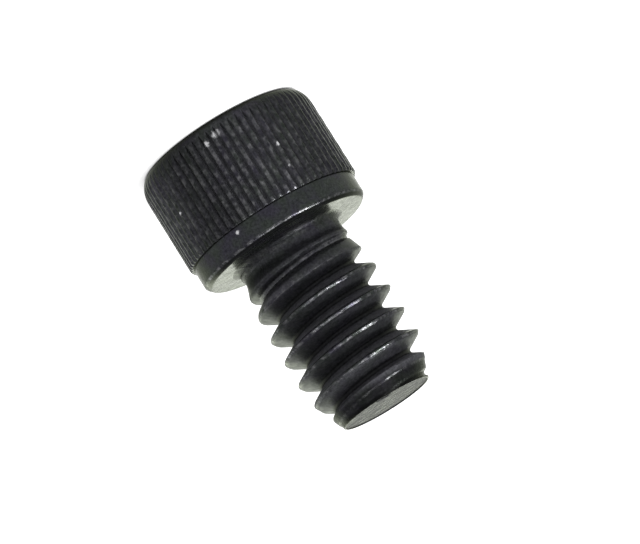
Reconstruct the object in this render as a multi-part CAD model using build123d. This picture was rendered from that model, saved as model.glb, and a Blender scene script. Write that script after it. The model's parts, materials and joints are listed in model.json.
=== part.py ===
from build123d import *
import os
from math import cos, pi, radians, sin, tan

# Socket head cap screw, 1/4-20 UNC x 3/8 in, one solid piece, standing on its head.
# Millimetres. +Z runs from the top of the head, at z = 0, to the tip of the shank.

# Head
head_height = 6.21
knurl_dia = 9.28  # over the ridges of the knurl
band_dia = 8.9  # the plain band under the knurl
band_height = 1.23  # from the bearing face to the ends of the ridges
band_chamfer = 0.24  # round the bearing face
top_round_axial = 1.08  # rounded top edge, along the axis
top_round_radial = 0.6  # rounded top edge, across it

# Knurl
ridge_count = 70
ridge_width = 0.08  # flat on the crest of each ridge
groove_dia = 8.92  # at the bottom of the grooves
groove_turn = 3.1  # degrees, where the first groove lies

# Hex socket
hex_across_flats = 4.78
hex_depth = 3.2
mouth_dia = 5.78  # over the countersink at the mouth
floor_slope = 15.0  # degrees, of the conical floor

# Shank
shank_length = 9.06  # from the bearing face to the tip
neck_dia = 5.5
neck_length = 0.78  # plain length, with its fillet
neck_fillet = 0.46
tip_dia = 4.7
point_length = 2.0  # from the tip to the first full crest

# Thread, right-handed, 20 to the inch
thread_dia = 6.3
pitch = 25.4 / 20
thread_angle = 60.0
crest_flat = 0.11
root_flat = 0.17
crest_runout = 2.5  # length over which the crests rise from the neck
root_runout = 1.77  # length over which the roots sink from the neck
thread_turn = 24.6  # degrees, where the crest crosses the bearing face's plane

slack = 0.5  # how far one shape reaches into or past another

tip_z = head_height + shank_length
runout_z = head_height + neck_length
band_z = head_height - band_height
knurl_r = knurl_dia / 2
neck_r = neck_dia / 2
thread_r = thread_dia / 2
thread_depth = (pitch - crest_flat - root_flat) / 2 / tan(radians(thread_angle / 2))
root_r = thread_r - thread_depth


def at(radius, angle):
    return (radius * cos(angle), radius * sin(angle))


def arc(radius, start, end):
    return ThreePointArc(at(radius, start), at(radius, (start + end) / 2), at(radius, end))


def spiral(radius, growth, start, end):
    """A curve whose radius grows evenly with its angle: a thread's flank, cut square to the axis."""
    turn = end - start
    return Spline([at(radius + growth * i / 4, start + turn * i / 4) for i in range(5)])


def turned(edges):
    """The solid that a closed outline of (radius, z) makes when turned about the axis."""
    return revolve(Plane.XZ * Face(Wire(edges)), Axis.Z)


def blank():
    """The head, its fillet and the neck, which tapers away inside the thread."""
    band_r = band_dia / 2
    top_r = knurl_r - top_round_radial
    fillet_r = neck_r + neck_fillet
    fillet_z = head_height + neck_fillet
    core_z = runout_z + root_runout * 1.2
    core_r = neck_r - (neck_r - root_r) * 1.2
    head = Polyline(
        (knurl_r, top_round_axial),
        (knurl_r, band_z),
        (band_r, band_z),
        (band_r, head_height - band_chamfer),
        (band_r - band_chamfer, head_height),
        (fillet_r, head_height),
    )
    fillet = CenterArc((fillet_r, fillet_z), neck_fillet, 270, -90)
    neck = Polyline(
        (neck_r, fillet_z), (neck_r, runout_z), (core_r, core_z), (0, core_z), (0, 0), (top_r, 0)
    )
    top_round = EllipticalCenterArc(
        (top_r, top_round_axial), top_round_radial, top_round_axial, start_angle=270
    )
    return turned(head.edges() + [fillet] + neck.edges() + [top_round])


def knurl_cutter():
    """What lies outside the ridges: a ring whose inside is toothed."""
    groove_r = groove_dia / 2
    half = pi / ridge_count
    peak_r = groove_r + (knurl_r - groove_r) * half / (half - ridge_width / knurl_dia)
    turn = radians(groove_turn)
    teeth = []
    for i in range(ridge_count):
        teeth.append(at(groove_r, turn + 2 * i * half))
        teeth.append(at(peak_r, turn + (2 * i + 1) * half))
    ring = Circle(peak_r + slack) - make_face(Polyline(teeth, close=True))
    return Pos(0, 0, -slack) * extrude(ring, slack + band_z)


def socket():
    """The hexagonal hole, with its conical floor and the countersink at its mouth."""
    flat_r = hex_across_flats / 2
    corner_r = flat_r / cos(pi / 6)
    mouth_r = mouth_dia / 2
    slope = tan(radians(floor_slope))
    hexagon = Pos(0, 0, -slack) * extrude(RegularPolygon(corner_r, 6), slack + head_height)
    bored = Polyline(
        (0, -slack),
        (corner_r + slack, -slack),
        (corner_r + slack, hex_depth + (flat_r - corner_r - slack) * slope),
        (0, hex_depth + flat_r * slope),
        close=True,
    )
    mouth = Polyline((0, -slack), (mouth_r + slack, -slack), (0, mouth_r), close=True)
    return (hexagon & turned(bored.edges())) + turned(mouth.edges())


def thread():
    """The thread's own cross-section twisted along the axis, cut to its run-out and its point."""
    crest = pi * crest_flat / pitch
    root = pi * root_flat / pitch
    section = [
        arc(thread_r, -crest, crest),
        spiral(thread_r, -thread_depth, crest, pi - root),
        arc(root_r, pi - root, pi + root),
        spiral(root_r, thread_depth, pi + root, 2 * pi - crest),
    ]
    start = runout_z - slack
    length = tip_z + slack - start
    twisted = Solid.extrude_linear_with_rotation(
        Wire(section), (0, 0, 0), (0, 0, length), 360 * length / pitch
    )
    turn = thread_turn + 360 * (start - head_height) / pitch
    outline = Polyline(
        (0, start),
        (neck_r, start),
        (neck_r, runout_z),
        (thread_r, runout_z + crest_runout),
        (thread_r, tip_z - point_length),
        (tip_dia / 2, tip_z),
        (0, tip_z),
        close=True,
    )
    return (Pos(0, 0, start) * Rot(0, 0, turn) * twisted) & turned(outline.edges())


def main():
    screw = blank() - knurl_cutter() - socket() + thread()
    os.makedirs("parts", exist_ok=True)
    export_step(screw, "parts/cap_screw.step")


main()
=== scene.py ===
import bpy
import json
import numpy as np
from math import cos, pi, radians, sin, tan
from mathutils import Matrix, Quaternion, Vector


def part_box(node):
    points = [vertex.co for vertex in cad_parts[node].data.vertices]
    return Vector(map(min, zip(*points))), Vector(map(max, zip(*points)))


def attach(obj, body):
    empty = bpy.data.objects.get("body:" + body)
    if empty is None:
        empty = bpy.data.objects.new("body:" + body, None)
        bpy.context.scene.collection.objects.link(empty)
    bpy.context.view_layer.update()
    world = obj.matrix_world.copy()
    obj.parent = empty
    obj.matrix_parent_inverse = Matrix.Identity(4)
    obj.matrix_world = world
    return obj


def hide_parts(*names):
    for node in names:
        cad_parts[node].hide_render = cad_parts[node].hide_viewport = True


# Socket head cap screw, black oxide, standing on its head. +Z runs from the head's flat top to
# the tip. The screw's sizes are in millimetres. Blender's objects and the studio are in metres.

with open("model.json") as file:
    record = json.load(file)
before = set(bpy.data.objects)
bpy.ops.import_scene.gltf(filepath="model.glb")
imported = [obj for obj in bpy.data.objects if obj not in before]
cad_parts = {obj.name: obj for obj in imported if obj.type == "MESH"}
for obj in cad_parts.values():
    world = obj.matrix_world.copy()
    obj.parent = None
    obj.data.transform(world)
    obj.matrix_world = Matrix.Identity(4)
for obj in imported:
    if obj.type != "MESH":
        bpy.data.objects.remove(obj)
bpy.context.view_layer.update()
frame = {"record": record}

MM = 0.001

# Differences up to this are rounding
TINY = 1e-6

SCENE = bpy.context.scene
_, NODE_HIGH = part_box("cap_screw")
MOUNTS = {m["name"]: m for m in frame["record"]["mounts"]}

# Head
HEAD_HEIGHT = MOUNTS["bearing_face"]["pos_m"][2] / MM
KNURL_R = max(NODE_HIGH.x, NODE_HIGH.y) / MM
TOP_ROUND_AXIAL = 1.08
TOP_ROUND_RADIAL = 0.6
TOP_R = KNURL_R - TOP_ROUND_RADIAL
TOP_CORNER_R, TOP_CORNER_Z = TOP_R + 0.08, 0.008
BAND_R = 4.45
BAND_HEIGHT = 1.23
BAND_Z = HEAD_HEIGHT - BAND_HEIGHT

# The corner between ridges and band: distance below the ridges, and painted shade
BAND_TOP = ((0.0, 1.0), (0.03, 0.7))

# The first and last ring of the unmarked part of the band
BAND_CLEAN = (BAND_Z + 0.07, HEAD_HEIGHT - 0.4)

# The edge under the band: inset, distance to the bearing face, wear with a painted highlight, and
# painted shade
BAND_EDGE = (
    (0.0, 0.3, 0.0, 0.0),
    (0.004, 0.25, 0.5, 0.0),
    (0.012, 0.235, 1.0, 0.0),
    (0.068, 0.16, 1.0, 0.0),
    (0.08, 0.147, 0.4, 0.5),
    (0.12, 0.108, 0.0, 0.9),
    (0.2, 0.035, 0.0, 0.7),
    (0.235, 0.008, 0.0, 0.5),
    (0.26, 0.0, 0.0, 0.6),
    (0.3, 0.0, 0.0, 0.6),
    (0.34, 0.0, 0.0, 0.0),
)

# Knurl
RIDGES = 70
RIDGE_PITCH = 2 * pi * KNURL_R / RIDGES
RIDGE_FLAT = 0.14
RIDGE_CREST_R = KNURL_R - 0.012
RIDGE_VARIES = 0.012
GROOVE_R = 4.46
GROOVE_TURN = radians(3.1)
RIDGE_END = 0.09
RIDGE_END_R = KNURL_R - 0.015
RIDGE_END_SHARES = (0.15, 0.35, 0.6, 0.85, 1)

# Socket: a hexagon with a conical floor. Short steps in and down soften its corners.
HEX_FLAT_R = 2.39
HEX_DEPTH = 3.2
MOUTH_R = 2.89
CONE_SLOPE = radians(15)
MOUTH_OUT, MOUTH_IN, MOUTH_DOWN = 0.03, 0.02, 0.025
WALL_DOWN = 0.02
CONE_IN, CONE_DOWN = 0.04, 0.01
WALL_SHARES = (0.03, 0.3, 0.65, 0.98)
CONE_SHARES = (0.8, 0.5, 0.25)

# Shank
TIP_Z = NODE_HIGH.z / MM
NECK_R = 2.69
NECK_LENGTH = 0.55
NECK_FILLET = 0.4
TIP_R = 2.35
POINT_LENGTH = 2.0
RUNOUT_Z = HEAD_HEIGHT + NECK_LENGTH

# Thread. Its crests are worn to a facet that slopes down toward the tip.
THREAD_R = 3.15
PITCH = 25.4 / 20
THREAD_HALF_ANGLE = radians(30)
CREST_FLAT = 0.11
CREST_TILT = radians(37)
CREST_START = CREST_FLAT / 5
ROOT_FLAT = 0.17
THREAD_DEPTH = (PITCH - CREST_FLAT - ROOT_FLAT) / 2 / tan(THREAD_HALF_ANGLE)
ROOT_R = THREAD_R - THREAD_DEPTH
THREAD_TURN = radians(24.6)

# Run-out: how the crests rise from the neck, and where the groove starts and how fast it deepens
CREST_RUNOUT = 2.5
CREST_LEAN = 0.18
RUNOUT_OFFSET = 0.05
GROOVE_START_Z = HEAD_HEIGHT + 0.97
ROOT_RUNOUT = 1.45

# Flat end: dished inside its rim, with a dent near the front
RIM_ROUND = 0.03
END_DISH = 0.05
DENT_X, DENT_Y = -0.06, -1.8
DENT_WIDTH = 0.45
DENT_DEPTH = 0.1

# The end's rim from the outside in: inset, share of the dish's depth, dullness and painted shade
END_RIM = (
    (0.03, 0.0, 0.0, 1.0),
    (0.06, 0.0, 0.0, 1.0),
    (0.09, 0.8, 1.0, 0.8),
    (0.13, 1.0, 1.0, 0.0),
)

# How softly two surfaces run into each other. The groove's floor does so by its depth.
RIDGE_BLEND = 0.05
RIDGE_FLOOR_BLEND = 0.02
TOP_BLEND = 0.03
RIDGE_END_BLEND = 0.01
CREST_BLEND = 0.03
RUNOUT_BLEND = 0.08
POINT_BLEND = 0.05
ROOT_BLEND = 0.1
LEAST_BLEND = 0.001

# How finely each form is divided
ROUND_STEPS = 12
ROUND_START = 0.12
KNURL_STEPS = 22
BAND_STEPS = 4
SHANK_STEPS = 210
FILLET_STEPS = 9
FLANK_STEPS = 5
END_STEPS = 16
END_R = (0.92 * TIP_R, 0.2)

# Rows across a crest, in half crest widths, and at the groove's floor, in pitches from its edge
CREST_ROWS = (-1.8, -1.2, -0.8, -0.4, 0, 0.6, 1.2, 1.7, 2.1)
ROOT_ROWS = (-0.035, -0.01, 0.025)

# How much each point is rubbed and given a painted highlight, dusty with dried oil and given
# painted light, rough, and given painted shade, from 0 to 1
MARKS = ("wear", "grime", "dull", "dark")

# Where marks fade in: the value at which one starts, and the value at which it's full.
# On the ridges, the values are shares of their depth below the crest. On the top round, they are
# shares of its turn.
RIDGE_WEAR_AND_HIGHLIGHT = (0.35, 0.1)
RIDGE_DUST_AND_LIGHT = (0.16, 0.56)
ROUND_PAINTED_SHADE = (0.5, 0.25)
PAINTED_SHADE_TURN = radians(11)

# On the thread, they are distances: past the crest, between flank and run-out, from the bearing
# face, below the crest, above the root and from the tip.
CREST_WEAR_AND_HIGHLIGHT = (0.08, 0.03)
CREST_MIDDLE = 0.03
EDGE_PAINTED_HIGHLIGHT = (0.09, 0.03)
EDGES_RAISED = (1.5, 1.8)
CRESTS_FORMED = (CREST_RUNOUT - 0.6, CREST_RUNOUT)
FLANK_DUST_AND_LIGHT = (0.08, 0.14)
ROOT_PAINTED_SHADE = (0.09, 0.03)
POINT_CLEAN = (0.9, 0.6)
RIM_PAINTED_SHADE = (0.2, 0.15)

# Painted highlight this far from the middle of the shallow groove, and painted shade where a
# crest rises this much
GROOVE_PAINTED_HIGHLIGHT = 0.12
NECK_CLEAR = 0.03

# Bright nicks in the head's finish: angle from the front, radius, height and size
NICKS = (
    (22, BAND_R, HEAD_HEIGHT - 0.95, 0.12),
    (1, KNURL_R, 0.78, 0.24),
    (9, KNURL_R, 0.95, 0.18),
    (-28, KNURL_R, HEAD_HEIGHT - 3.55, 0.09),
    (-26, KNURL_R, HEAD_HEIGHT - 2.4, 0.09),
    (49, KNURL_R, HEAD_HEIGHT - 3.4, 0.1),
)
NICK_RAGGED = 0.06
NICK_CORE = 0.4

# Colours of the finish
BLACK_VIOLET = (0.019, 0.018, 0.0245, 1)
BLACK_GREEN = (0.019, 0.022, 0.020, 1)
DRIED_OIL_AND_LIGHT = (0.07, 0.07, 0.078, 1)
RUBBED_STEEL_AND_HIGHLIGHT = (0.095, 0.095, 0.1, 1)
SCRAPED_STEEL = (0.09, 0.09, 0.09, 1)
BARE_STEEL = (0.4, 0.4, 0.41, 1)
OXIDE_GLOSS = (0.58, 0.61, 0.52, 1)

# View
VIEW_ELEVATION = radians(10.54)
VIEW_ROLL = radians(147.95)
VIEW_DISTANCE = 0.2
VIEW_TARGET = Vector((-0.634, 0, 8.18)) * MM
VIEW_LENS = 235.55
SENSOR_WIDTH = 36

# Studio
ROOM_LIGHT = 0.38
FLOOR_R = 0.6
FLOOR_SIDES = 96
FLOOR_GAP = 0.005 * MM
FLOOR_WHITE = (0.85, 0.85, 0.85, 1)
FLOOR_FILL = 0.6
# The floor's glow starts at this radius and fades in over the next distance, which paints a
# contact shadow round the head
PAINTED_SHADOW_R = 4.15 * MM
PAINTED_SHADOW_FADE = 0.15 * MM

# Lamps: name, azimuth, elevation, distance, width, height and strength
LAMPS = (
    ("key", -60, 56, 0.15, 0.09, 0.012, 42),
    ("strip", 5, 63, 0.15, 0.12, 0.012, 8),
    ("front", -14, 12, 0.15, 0.3, 0.05, 1.7),
    ("back", 173, 22, 0.3, 0.26, 0.16, 2.6),
    ("side_left", 135, 12, 0.3, 0.2, 0.25, 2.0),
    ("side_right", -135, 12, 0.3, 0.2, 0.25, 0.3),
)


def smooth_min(a, b, blend):
    """The smaller of two, rounded where they cross."""
    share = np.clip(0.5 + 0.5 * (b - a) / blend, 0, 1)
    return b + (a - b) * share - blend * share * (1 - share)


def smooth_max(a, b, blend):
    """The larger of two, rounded where they cross."""
    return -smooth_min(-a, -b, blend)


def fade(value, start, full):
    """0 up to the start, 1 from full on, and straight in between. Start may be above full."""
    return np.clip((value - start) / (full - start), 0, 1)


def wave(seed, *steps):
    """Slow random-looking waves, between -1 and 1, over arrays of whole or part steps."""
    total = sum(np.sin(k * (2.1 + 0.7 * n + seed) + n) for n, k in enumerate(steps))
    return total / len(steps)


class Skin:
    """The points and faces of one closed surface, built up ring by ring."""

    def __init__(self):
        self.points = []
        self.faces = []
        self.marks = {name: [] for name in MARKS}
        self.count = 0

    def add(self, angles, radii, heights, **marks):
        """Adds points in cylinder coordinates with their marks, and returns their numbers."""
        angles, radii, heights = np.broadcast_arrays(angles, radii, heights)
        xyz = np.stack([radii * np.cos(angles), radii * np.sin(angles), heights], axis=-1)
        self.points.append(xyz)
        for name in MARKS:
            self.marks[name].append(np.broadcast_to(marks.get(name, 0.0), angles.shape))
        numbers = self.count + np.arange(len(xyz))
        self.count += len(xyz)
        return numbers

    def join(self, low, high):
        """Quads between two rings with the same number of points."""
        nxt_low, nxt_high = np.roll(low, -1), np.roll(high, -1)
        self.faces += np.stack([low, nxt_low, nxt_high, high], axis=-1).tolist()

    def join_all(self, rings):
        """Quads from each ring to the next."""
        for low, high in zip(rings, rings[1:]):
            self.join(low, high)

    def step(self, low, high):
        """Triangles between two rings whose numbers of points differ."""
        n, m = len(low), len(high)
        i = j = 0
        while i < n or j < m:
            if j == m or (i < n and (i + 1) * m <= (j + 1) * n):
                self.faces.append([low[i % n], low[(i + 1) % n], high[j % m]])
                i += 1
            else:
                self.faces.append([low[i % n], high[(j + 1) % m], high[j % m]])
                j += 1

    def net(self, grid):
        """Faces between the rows of a grid of point numbers, without the points that repeat."""
        for low, high in zip(grid, grid[1:]):
            for i in range(len(low) - 1):
                corners = [low[i], low[i + 1], high[i + 1], high[i]]
                face = [p for k, p in enumerate(corners) if p != corners[k - 1]]
                if len(face) > 2:
                    self.faces.append(face)

    def cap(self, ring, centre):
        """Triangles from a ring to one point."""
        nxt = np.roll(ring, -1)
        self.faces += [[a, b, centre] for a, b in zip(ring, nxt)]


def ridge_angles():
    """Angles round the head in rising order, close together on each ridge's crest."""
    flat = RIDGE_FLAT / RIDGE_PITCH
    # Shares of a ridge's pitch, from the middle of a groove to the middle of a crest
    across = [0, 0.06, 0.5 - 1.1 * flat, 0.2, 0.5 - 0.7 * flat, 0.5 - 0.4 * flat, 0.5]
    across += [1 - x for x in across[-2:0:-1]]
    turns = np.arange(RIDGES)[:, None] + np.array(across)[None, :]
    return (GROOVE_TURN + 2 * pi * turns / RIDGES).ravel()


def knurl_radius(angles, z):
    """The knurl's section: a rounded crest and straight sides, with no two ridges quite alike."""
    turns = (angles - GROOVE_TURN) * RIDGES / (2 * pi)
    ridge = np.floor(turns + TINY)
    from_middle = np.abs(turns - ridge - 0.5)
    half_flat = RIDGE_FLAT / RIDGE_PITCH / 2
    side = (0.5 - from_middle) / (0.5 - half_flat)
    lean = RIDGE_VARIES * wave(0.3, ridge * 1.7, ridge * 0.31 + z * 0.8)
    flank = GROOVE_R + (KNURL_R + lean - GROOVE_R) * side
    crest = RIDGE_CREST_R - RIDGE_VARIES * wave(1.1, ridge * 2.3, ridge + z * 2.1)
    return smooth_max(smooth_min(flank, crest, RIDGE_BLEND), GROOVE_R, RIDGE_FLOOR_BLEND)


def ridge_marks(angles, radius, amount=1.0):
    """Rubbed crests with a painted highlight, dusty grooves with painted light, and painted shade
    between front and sides.
    """
    depth = (KNURL_R - radius) / (KNURL_R - GROOVE_R)
    return {
        "wear": 0.75 * amount * fade(depth, *RIDGE_WEAR_AND_HIGHLIGHT),
        "grime": amount * fade(depth, *RIDGE_DUST_AND_LIGHT),
        # Painted shade, strongest about halfway between the front and each side
        "dark": 0.55 * np.sin(2 * (angles + PAINTED_SHADE_TURN)) ** 2,
    }


def top_round(skin, angles):
    """The rings of the rounded edge between the head's flat top and the knurl."""
    rings = [
        # Painted shade along the top edge, fading out over the first half of the round
        skin.add(angles, TOP_R, 0, dark=1),
        skin.add(angles, TOP_CORNER_R, TOP_CORNER_Z, dark=1),
    ]
    knurl = knurl_radius(angles, TOP_ROUND_AXIAL)
    for share in np.linspace(ROUND_START, 1, ROUND_STEPS):
        bend = share * pi / 2
        z = TOP_ROUND_AXIAL * (1 - cos(bend))
        envelope = TOP_R + TOP_ROUND_RADIAL * sin(bend)
        marks = ridge_marks(angles, knurl, share**2)
        marks["dark"] = np.maximum(marks["dark"], fade(share, *ROUND_PAINTED_SHADE))
        rings.append(skin.add(angles, smooth_min(knurl, envelope, TOP_BLEND), z, **marks))
    return rings


def ridges(skin, angles):
    """The rings of the knurl, with the ridges' lower ends that slope to the plain band."""
    rings = []
    for z in np.linspace(TOP_ROUND_AXIAL, BAND_Z - RIDGE_END, KNURL_STEPS)[1:]:
        knurl = knurl_radius(angles, z)
        marks = ridge_marks(angles, knurl)
        rings.append(skin.add(angles, knurl, z, **marks))
    # The lower ends keep the last ring's section and marks
    for share in RIDGE_END_SHARES:
        z = BAND_Z - RIDGE_END * (1 - share)
        fall = RIDGE_END_R - tan(CREST_TILT) * RIDGE_END * share
        end = smooth_min(knurl, fall, RIDGE_END_BLEND)
        rings.append(skin.add(angles, end, z, **marks))
    return rings


def band(skin, angles):
    """The rings of the plain band and of its edge, as far as the bearing face."""
    rings = []
    # Painted shade in the corner under the ridges
    for below, dark in BAND_TOP:
        rings.append(skin.add(angles, BAND_R, BAND_Z + below, dark=dark))
    for z in np.linspace(*BAND_CLEAN, BAND_STEPS):
        rings.append(skin.add(angles, BAND_R, z))
    # Painted highlight and painted shade along the edge under the band
    for inset, above, wear, dark in BAND_EDGE:
        z = HEAD_HEIGHT - above
        rings.append(skin.add(angles, BAND_R - inset, z, wear=wear, dark=dark))
    return rings


def head(skin):
    """From the flat top along the knurl to the bearing face. Returns its first and last ring."""
    angles = ridge_angles()
    rings = top_round(skin, angles) + ridges(skin, angles) + band(skin, angles)
    skin.join_all(rings)
    return rings[0], rings[-1]


def socket(skin, rim):
    """The hexagonal hole, from the head's flat top to the centre of its floor."""
    angles = np.arange(SHANK_STEPS) * 2 * pi / SHANK_STEPS
    hexagon = HEX_FLAT_R / np.cos((angles % (pi / 3)) - pi / 6)
    mouth = skin.add(angles, MOUTH_R + MOUTH_OUT, 0)
    rings = [mouth, skin.add(angles, MOUTH_R - MOUTH_IN, MOUTH_DOWN)]
    wall_top = MOUTH_R - hexagon
    floor = HEX_DEPTH - (hexagon - HEX_FLAT_R) * tan(CONE_SLOPE)
    rings.append(skin.add(angles, hexagon, wall_top + WALL_DOWN))
    for share in WALL_SHARES:
        rings.append(skin.add(angles, hexagon, wall_top + (floor - wall_top) * share))
    rings.append(skin.add(angles, hexagon - CONE_IN, floor + CONE_DOWN))
    for share in CONE_SHARES:
        radius = hexagon * share
        z = HEX_DEPTH + (HEX_FLAT_R - radius) * tan(CONE_SLOPE)
        rings.append(skin.add(angles, radius, z))
    skin.step(mouth, rim)
    skin.join_all(rings[::-1])
    centre = skin.add(np.zeros(1), 0, HEX_DEPTH + HEX_FLAT_R * tan(CONE_SLOPE))[0]
    skin.cap(rings[-1][::-1], centre)


def past_nearest_crest(angles, z):
    """The distance toward the tip from the nearest crest. It's negative on the head's side."""
    turns = (z - HEAD_HEIGHT) / PITCH - (angles - THREAD_TURN) / (2 * pi)
    return (turns - np.round(turns)) * PITCH


def groove_depth(z):
    """0 where the groove starts at the neck, and 1 where it's full."""
    return np.clip((z - GROOVE_START_Z) / ROOT_RUNOUT, 0, 1)


def groove_walls(angles, z):
    """The radii of the groove's floor and its straight sides."""
    root = NECK_R + (ROOT_R - NECK_R) * groove_depth(z)
    from_root = PITCH / 2 - ROOT_FLAT / 2 - np.abs(past_nearest_crest(angles, z))
    return root, root + from_root / tan(THREAD_HALF_ANGLE)


def runout_radius(angles, z):
    """How far the crests stand out where they rise from the neck."""
    rise = NECK_R + (THREAD_R - NECK_R) * (z - RUNOUT_Z) / CREST_RUNOUT
    rise += CREST_LEAN * past_nearest_crest(angles, z) + RUNOUT_OFFSET * np.cos(angles)
    return smooth_max(rise, NECK_R, RUNOUT_BLEND)


def point_radius(angles, z):
    """The cone of the point, which keeps a narrow lip along the crest."""
    slope = (THREAD_R - TIP_R) / POINT_LENGTH
    lip = np.clip(past_nearest_crest(angles, z) + CREST_START, 0, 4 * CREST_START)
    return TIP_R + slope * (TIP_Z - z) - (tan(CREST_TILT) - slope) * lip


def thread_radius(angles, z):
    """The thread's section, its point, and its run-out, where the groove grows shallow."""
    root, flank = groove_walls(angles, z)
    past_start = np.maximum(past_nearest_crest(angles, z) + CREST_START, 0)
    crest = THREAD_R - tan(CREST_TILT) * past_start
    section = smooth_min(flank, crest, CREST_BLEND)
    section = smooth_min(section, runout_radius(angles, z), RUNOUT_BLEND)
    section = smooth_min(section, point_radius(angles, z), POINT_BLEND)
    return smooth_max(section, root, ROOT_BLEND * groove_depth(z) + LEAST_BLEND)


def crests_formed(z):
    """0 near the neck, and 1 where the crests stand at their full height."""
    return fade(z - HEAD_HEIGHT, *CRESTS_FORMED)


def thread_wear_and_highlight(angles, z):
    """Rubbed crests that also carry a painted highlight, and painted highlights along the
    run-out's edges and in the middle of the shallow groove.
    """
    past_crest = past_nearest_crest(angles, z)
    formed = crests_formed(z)
    crest = formed * fade(np.abs(past_crest - CREST_MIDDLE), *CREST_WEAR_AND_HIGHLIGHT)
    flank = groove_walls(angles, z)[1]
    edge = (past_crest > 0) * fade(np.abs(flank - runout_radius(angles, z)), *EDGE_PAINTED_HIGHLIGHT)
    edge = edge * fade(z - HEAD_HEIGHT, *EDGES_RAISED)
    edge += 0.6 * (1 - formed) * (np.abs(past_crest) > PITCH / 2 - GROOVE_PAINTED_HIGHLIGHT)
    return np.maximum(crest, edge)


def thread_grime_and_light(angles, radius, z):
    """Oil dried on the flanks, more on those that face the head, and none on the point. Its
    lighter colour also paints light onto the shaded flanks and the neck.
    """
    formed = crests_formed(z)
    side = np.where(past_nearest_crest(angles, z) < 0, 0.9, 0.5)
    flank = formed * side * fade(THREAD_R - radius, *FLANK_DUST_AND_LIGHT)
    return (flank + 0.3 * (1 - formed)) * (1 - fade(TIP_Z - z, *POINT_CLEAN))


def thread_painted_shade(angles, radius, z):
    """Painted shade at the groove's bottom, toward the end, and where the crests rise from the
    neck.
    """
    formed = crests_formed(z)
    root = 0.9 * formed * fade(radius - ROOT_R, *ROOT_PAINTED_SHADE)
    point = 0.6 * fade(TIP_Z - z, *POINT_CLEAN) + 0.35 * fade(TIP_Z - z, *RIM_PAINTED_SHADE)
    rise = runout_radius(angles, z)
    rising = (groove_walls(angles, z)[1] > rise) & (rise > NECK_R + NECK_CLEAR)
    neck = (1 - formed) * np.where(rising, 0.35, 0.05)
    return np.maximum(np.maximum(root, point), neck)


def thread_marks(angles, radius, z):
    """The marks along the thread, by name."""
    return {
        "wear": thread_wear_and_highlight(angles, z),
        "grime": thread_grime_and_light(angles, radius, z),
        "dark": thread_painted_shade(angles, radius, z),
        "dull": 0.15 * fade(TIP_Z - z, *POINT_CLEAN),
    }


def thread_rows():
    """Where the rows of points lie across one pitch, as shares of it from a crest."""
    half_crest = CREST_FLAT / PITCH / 2
    floor_edge = 0.5 - ROOT_FLAT / PITCH / 2
    side = list(np.linspace(half_crest * 3, floor_edge - 0.06, FLANK_STEPS))
    side += [floor_edge + x for x in ROOT_ROWS]
    crest = [half_crest * x for x in CREST_ROWS]
    return np.array([-x for x in side[::-1]] + crest + side + [0.5])


def thread(skin, start, angles):
    """A net of points along the helix, cut off square at both ends. Returns its last ring."""
    low_z, high_z = HEAD_HEIGHT + NECK_FILLET, TIP_Z - RIM_ROUND
    rows = thread_rows()
    first_crest = HEAD_HEIGHT / PITCH - THREAD_TURN / (2 * pi)
    first = int(np.floor(low_z / PITCH - first_crest)) - 2
    last = int(np.ceil(high_z / PITCH - first_crest)) + 1
    turns = (np.arange(first, last + 1)[:, None] + rows[None, :]).ravel() + first_crest
    z = PITCH * (turns[:, None] + angles[None, :] / (2 * pi))

    # Points past an end of the thread become the nearest point of the ring there
    # The end ring is dull and carries painted shade
    end = skin.add(angles, thread_radius(angles, high_z), high_z, dull=0.5, dark=1)
    inside = (z > low_z + TINY) & (z < high_z - TINY)
    grid = np.where(z <= low_z + TINY, start[None, :], end[None, :])
    turn, height = np.broadcast_to(angles, z.shape)[inside], z[inside]
    radius = thread_radius(turn, height)
    grid[inside] = skin.add(turn, radius, height, **thread_marks(turn, radius, height))

    # One turn round the shank, a row meets the row one pitch further on
    per_turn = len(rows)
    seam = np.vstack([grid[per_turn:, 0:1], np.full((per_turn, 1), end[0])])
    skin.net(np.hstack([grid, seam]))
    return end


def fillet(skin, angles):
    """The rings of the rounded corner between the bearing face and the neck."""
    rings = []
    for share in np.linspace(0, 1, FILLET_STEPS):
        bend = share * pi / 2
        z = HEAD_HEIGHT + NECK_FILLET * (1 - cos(bend))
        corner = NECK_R + NECK_FILLET * (1 - sin(bend))
        radius = np.maximum(corner, thread_radius(angles, z))
        dull = 0.3 * (share > 0)
        # Painted shade in the corner, strongest halfway round
        dark = 0.05 + 0.3 * sin(2 * bend)
        rings.append(skin.add(angles, radius, z, dull=dull, dark=dark))
    return rings


def dent_depth(x, y):
    """How far the dent goes down below the end."""
    across = (x - DENT_X) / DENT_WIDTH
    along = (y - DENT_Y) / DENT_WIDTH
    return DENT_DEPTH * np.clip(5 * np.exp(-(across**4) - 3 * along**2) - 2, 0, 1)


def tip(skin, angles):
    """The dished end inside its rim. Returns the rim's outer ring."""
    edge = thread_radius(angles, TIP_Z)
    floor_z = TIP_Z - END_DISH
    rings = []
    # Painted shade along the rim
    for inset, dish, dull, dark in END_RIM:
        z = TIP_Z - END_DISH * dish
        rings.append(skin.add(angles, edge - inset, z, dull=dull, dark=dark))
    for radius in np.linspace(*END_R, END_STEPS):
        dent = dent_depth(radius * np.cos(angles), radius * np.sin(angles))
        rings.append(skin.add(angles, radius, floor_z - dent, dull=1))
    skin.join_all(rings)
    skin.cap(rings[-1], skin.add(np.zeros(1), 0, floor_z, dull=1)[0])
    return rings[0]


def shank(skin):
    """From the bearing face along the thread to the end. Returns its first ring."""
    angles = np.arange(SHANK_STEPS) * 2 * pi / SHANK_STEPS
    rings = fillet(skin, angles)
    skin.join_all(rings)
    last = thread(skin, rings[-1], angles)
    skin.join(last, tip(skin, angles))
    return rings[0]


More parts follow.
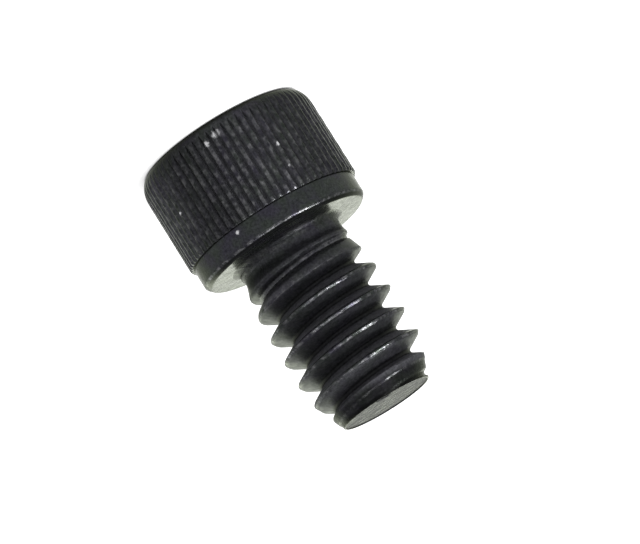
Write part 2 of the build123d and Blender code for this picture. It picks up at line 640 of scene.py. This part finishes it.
def make_screw():
    """The whole screw as one closed mesh, in place of the plain solid."""
    skin = Skin()
    rim, bearing = head(skin)
    socket(skin, rim)
    skin.step(bearing, shank(skin))
    mesh = bpy.data.meshes.new("screw")
    mesh.from_pydata(np.concatenate(skin.points) * MM, [], skin.faces)
    for name, values in skin.marks.items():
        layer = mesh.attributes.new(name, "FLOAT", "POINT")
        layer.data.foreach_set("value", np.concatenate(values).astype(np.float32))
    mesh.validate()
    mesh.shade_smooth()
    mesh.set_sharp_from_angle(angle=radians(40))
    screw = bpy.data.objects.new("screw", mesh)
    SCENE.collection.objects.link(screw)
    mesh.materials.append(black_oxide())
    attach(screw, "root")
    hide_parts("cap_screw")


class Nodes:
    """Shader nodes of one tree, made and joined in one call each."""

    def __init__(self, tree):
        self.tree = tree

    def add(self, kind, inputs, output=0, **settings):
        """Makes a node, sets or links its inputs, and returns one of its outputs."""
        node = self.tree.nodes.new(kind)
        for name, value in settings.items():
            setattr(node, name, value)
        for name, value in inputs.items():
            if isinstance(value, bpy.types.NodeSocket):
                self.tree.links.new(value, node.inputs[name])
            else:
                node.inputs[name].default_value = value
        return None if output is None else node.outputs[output]

    def math(self, operation, a, b):
        return self.add("ShaderNodeMath", {0: a, 1: b}, operation=operation)

    def noise(self, vector, scale, detail, roughness):
        inputs = {"Vector": vector, "Scale": scale, "Detail": detail, "Roughness": roughness}
        return self.add("ShaderNodeTexNoise", inputs)

    def ramp(self, value, low, high, to_low=0.0, to_high=1.0):
        """Straight from one range of values to another, held at both ends."""
        inputs = {"Value": value, 1: low, 2: high, 3: to_low, 4: to_high}
        return self.add("ShaderNodeMapRange", inputs)

    def mix(self, share, a, b):
        """From colour a to colour b. These are the mix node's colour sockets."""
        inputs = {0: share, 6: a, 7: b}
        return self.add("ShaderNodeMix", inputs, output=2, data_type="RGBA")

    def scaled(self, vector, factor):
        inputs = {0: vector, "Scale": factor}
        return self.add("ShaderNodeVectorMath", inputs, operation="SCALE")

    def place(self):
        """Where on the object a point is, in metres."""
        return self.add("ShaderNodeTexCoord", {}, output="Object")

    def mark(self, name):
        """One of the marks stored on the mesh."""
        return self.add("ShaderNodeAttribute", {}, output="Fac", attribute_name=name)

    def bump(self, height, strength, distance, normal=None):
        inputs = {"Height": height, "Strength": strength, "Distance": distance}
        if normal:
            inputs["Normal"] = normal
        return self.add("ShaderNodeBump", inputs)


def black_oxide():
    """Oiled black oxide, nearly black and satin, with the marks' colours and roughness."""
    material = bpy.data.materials.new("black_oxide")
    material.use_nodes = True
    tree = material.node_tree
    n = Nodes(tree)
    shader = tree.nodes["Principled BSDF"]
    mm = n.scaled(n.place(), 1 / MM)
    tree.links.new(oxide_colour(n, mm), shader.inputs["Base Color"])
    tree.links.new(oxide_roughness(n, mm), shader.inputs["Roughness"])
    tree.links.new(oxide_surface(n, mm), shader.inputs["Normal"])
    shader.inputs["Metallic"].default_value = 0.65
    shader.inputs["Specular IOR Level"].default_value = 0.12
    shader.inputs["Specular Tint"].default_value = OXIDE_GLOSS
    return material


def oxide_colour(n, mm):
    """Mottled black, with dried oil that also paints light, rubbed edges that also paint
    highlights, scraped faces, painted shade in corners and along edges, and nicks.
    """
    tint = n.noise(mm, scale=0.9, detail=3, roughness=0.6)
    colour = n.mix(n.ramp(tint, 0.38, 0.62), BLACK_VIOLET, BLACK_GREEN)

    patches = n.noise(mm, scale=4, detail=4, roughness=0.6)
    dust_and_light_patches = n.ramp(patches, 0.3, 0.7, to_low=0.4, to_high=1)
    # Dried oil, whose lighter colour also paints light into grooves and onto flanks
    colour = n.mix(n.math("MULTIPLY", n.mark("grime"), dust_and_light_patches), colour, DRIED_OIL_AND_LIGHT)

    spots = n.noise(mm, scale=3.2, detail=4, roughness=0.65)
    rubbed_and_highlight_spots = n.ramp(spots, 0.45, 0.65)
    # Rubbed steel, which also paints highlights on crests and edges
    colour = n.mix(n.math("MULTIPLY", n.mark("wear"), rubbed_and_highlight_spots), colour, RUBBED_STEEL_AND_HIGHLIGHT)

    scraped = n.ramp(streaks(n, mm), 0.4, 0.65)
    colour = n.mix(n.math("MULTIPLY", n.mark("dull"), scraped), colour, SCRAPED_STEEL)

    mottle = n.noise(mm, scale=9, detail=4, roughness=0.7)
    mottled = n.ramp(mottle, 0.3, 0.7, to_low=0.55, to_high=1.6)
    # Painted shade darkens the colour in corners, along edges and between front and sides
    painted_shading = n.ramp(n.mark("dark"), 0, 1, to_low=1, to_high=0.08)
    return nicked(n, mm, n.scaled(colour, n.math("MULTIPLY", mottled, painted_shading)))


def nicked(n, mm, colour):
    """A colour with ragged spots of bare steel where the nicks are."""
    edge = n.noise(mm, scale=7, detail=3, roughness=0.6)
    ragged = n.ramp(edge, 0.3, 0.7, to_low=-NICK_RAGGED, to_high=NICK_RAGGED)
    for angle, radius, z, size in NICKS:
        point = (radius * sin(radians(angle)), -radius * cos(radians(angle)), z)
        inputs = {0: mm, 1: point}
        away = n.add("ShaderNodeVectorMath", inputs, output="Value", operation="DISTANCE")
        away = n.math("ADD", away, ragged)
        colour = n.mix(n.ramp(away, size, size * NICK_CORE), colour, BARE_STEEL)
    return colour


def streaks(n, mm):
    """Noise drawn out along X, as a saw leaves it."""
    inputs = {0: mm, 1: (0.9, 4, 4)}
    stretched = n.add("ShaderNodeVectorMath", inputs, operation="MULTIPLY")
    return n.noise(stretched, scale=1, detail=5, roughness=0.65)


def oxide_roughness(n, mm):
    """Uneven satin, rougher in the streaks and under dried oil, and smoother where rubbed; these
    marks also carry painted light and painted highlights.
    """
    uneven = n.noise(mm, scale=2.5, detail=5, roughness=0.65)
    satin = n.ramp(uneven, 0.3, 0.7, to_low=0.14, to_high=0.34)
    scraped = n.ramp(streaks(n, mm), 0.35, 0.65, to_low=0, to_high=0.5)
    rough = n.math("ADD", satin, n.math("MULTIPLY", scraped, n.mark("dull")))
    rough = n.math("ADD", rough, n.math("MULTIPLY", 0.35, n.mark("grime")))
    return n.math("SUBTRACT", rough, n.math("MULTIPLY", 0.1, n.mark("wear")))


def oxide_surface(n, mm):
    """A fine grain with soft dents, and deeper streaks where it's dull."""
    soft = n.noise(mm, scale=4, detail=3, roughness=0.55)
    fine = n.noise(mm, scale=12, detail=3, roughness=0.6)
    dents = n.bump(soft, strength=0.5, distance=0.016 * MM)
    cut = n.bump(streaks(n, mm), strength=n.mark("dull"), distance=0.13 * MM, normal=dents)
    return n.bump(fine, strength=0.5, distance=0.007 * MM, normal=cut)


def make_camera():
    """The camera in front of the screw, rolled so that the screw leans in the picture."""
    data = bpy.data.cameras.new("camera")
    data.lens = VIEW_LENS
    data.sensor_width = SENSOR_WIDTH
    data.clip_start = 0.01
    data.clip_end = 10
    camera = bpy.data.objects.new("camera", data)
    SCENE.collection.objects.link(camera)
    back = Vector((0, -cos(VIEW_ELEVATION), sin(VIEW_ELEVATION)))
    camera.rotation_mode = "QUATERNION"
    camera.rotation_quaternion = back.to_track_quat("Z", "Y") @ Quaternion((0, 0, 1), VIEW_ROLL)
    camera.location = VIEW_TARGET + back * VIEW_DISTANCE
    SCENE.camera = camera


def seen_directly(n):
    """1 for what is seen, also in metal or through glass, and 0 for light on the object."""
    path = n.tree.nodes.new("ShaderNodeLightPath")
    seen = n.math("MAXIMUM", path.outputs["Is Camera Ray"], path.outputs["Is Glossy Ray"])
    return n.math("MAXIMUM", seen, path.outputs["Is Transmission Ray"])


def make_world():
    """A room that is seen as white and lights the object less than it shows."""
    world = bpy.data.worlds.new("studio")
    world.use_nodes = True
    n = Nodes(world.node_tree)
    background = world.node_tree.nodes["Background"]
    background.inputs["Color"].default_value = (1, 1, 1, 1)
    strength = n.ramp(seen_directly(n), 0, 1, ROOM_LIGHT, 1)
    world.node_tree.links.new(strength, background.inputs["Strength"])
    SCENE.world = world


def make_floor():
    """A white floor that keeps the screw's shadow, with a hole under the head's flat top."""
    mesh = bpy.data.meshes.new("floor")
    turns = np.arange(FLOOR_SIDES) * 2 * pi / FLOOR_SIDES
    circle = np.stack([np.cos(turns), np.sin(turns), 0 * turns], axis=-1)
    inner = np.arange(FLOOR_SIDES)
    outer = inner + FLOOR_SIDES
    faces = np.stack([inner, outer, np.roll(outer, -1), np.roll(inner, -1)], axis=-1)
    points = np.concatenate([circle * TOP_R * MM, circle * FLOOR_R])
    mesh.from_pydata(points, [], faces.tolist())
    mesh.materials.append(floor_white())
    floor = bpy.data.objects.new("floor", mesh)
    floor.location.z = -FLOOR_GAP
    SCENE.collection.objects.link(floor)


def floor_white():
    """A lit white that also glows where it's seen away from the head, and is clear from below.
    Near the head the glow is left out, which paints a contact shadow.
    """
    material = bpy.data.materials.new("floor_white")
    material.use_nodes = True
    n = Nodes(material.node_tree)
    material.node_tree.nodes.clear()
    diffuse = n.add("ShaderNodeBsdfDiffuse", {"Color": FLOOR_WHITE})
    away = n.add("ShaderNodeVectorMath", {0: n.place()}, output="Value", operation="LENGTH")
    # No glow close to the head: a painted contact shadow
    glow_past_painted_shadow = n.ramp(away, PAINTED_SHADOW_R, PAINTED_SHADOW_R + PAINTED_SHADOW_FADE, 0, FLOOR_FILL)
    glow = n.math("MULTIPLY", seen_directly(n), glow_past_painted_shadow)
    fill = n.add("ShaderNodeEmission", {"Strength": glow})
    lit = n.add("ShaderNodeAddShader", {0: diffuse, 1: fill})
    behind = n.add("ShaderNodeNewGeometry", {}, output="Backfacing")
    clear = n.add("ShaderNodeBsdfTransparent", {})
    surface = n.add("ShaderNodeMixShader", {0: behind, 1: lit, 2: clear})
    n.add("ShaderNodeOutputMaterial", {"Surface": surface}, output=None)
    return material


def add_lamp(name, azimuth, elevation, distance, wide, high, strength):
    """A soft lamp that faces the screw. Azimuth 0 is the camera's side, and 90 is +X."""
    data = bpy.data.lights.new(name, "AREA")
    data.shape = "RECTANGLE"
    data.size = wide
    data.size_y = high
    data.energy = strength * pi * wide * high
    lamp = bpy.data.objects.new(name, data)
    a, e = radians(azimuth), radians(elevation)
    away = Vector((sin(a) * cos(e), -cos(a) * cos(e), sin(e)))
    lamp.location = VIEW_TARGET + away * distance
    lamp.rotation_mode = "QUATERNION"
    lamp.rotation_quaternion = away.to_track_quat("Z", "Y")
    lamp.visible_camera = False
    SCENE.collection.objects.link(lamp)


make_screw()
make_camera()
make_world()
make_floor()
for lamp_row in LAMPS:
    add_lamp(*lamp_row)
SCENE.view_settings.view_transform = "Standard"
